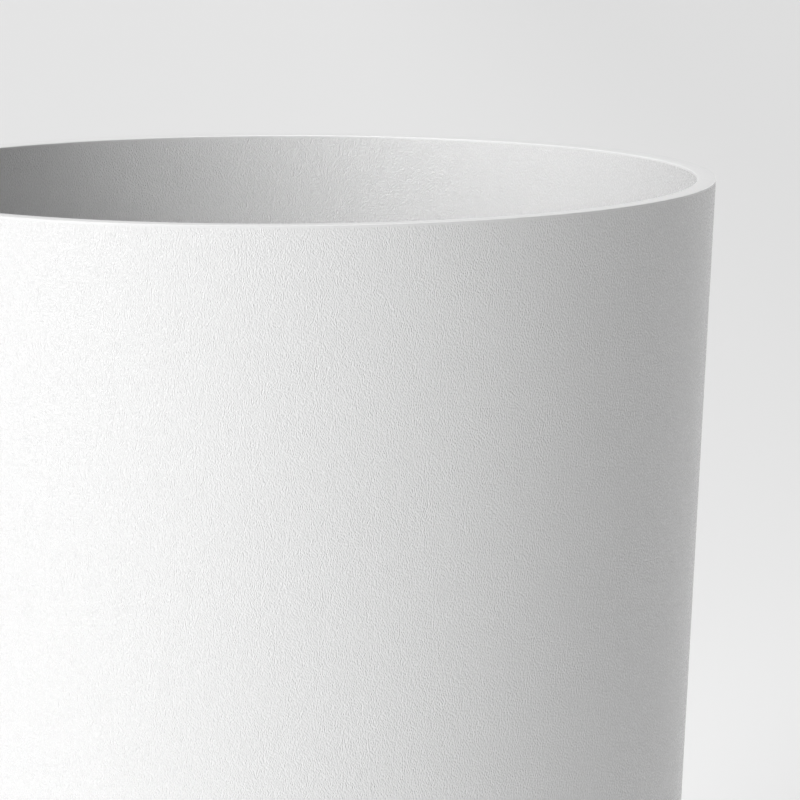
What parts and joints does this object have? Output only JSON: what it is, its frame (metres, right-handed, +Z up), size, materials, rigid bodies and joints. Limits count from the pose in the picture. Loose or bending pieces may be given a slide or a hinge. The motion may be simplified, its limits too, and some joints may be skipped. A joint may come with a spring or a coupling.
{
  "type": "wastebasket",
  "caption": "Plain round open-top wastebasket: a tapered moulded bin with a flat rim and a lightly grained matte surface, standing on anti-slip pads.",
  "frame": {"origin": "on the surface that the bin stands on, under the middle of the bin", "axes": "+Z up along the axis that the bin is turned about; -Y is the front; the pads are on the diagonals between X and Y"},
  "size_m": [0.216, 0.216, 0.254],
  "materials": {
    "white_plastic": "fine moulded grain, matte, smooth on the rim",
    "grey_rubber": "soft matte"
  },
  "bodies": {
    "root": {"bin_body": "white_plastic", "foot_pad_front_right": "grey_rubber", "foot_pad_back_right": "grey_rubber", "foot_pad_back_left": "grey_rubber", "foot_pad_front_left": "grey_rubber"}
  },
  "joints": []
}
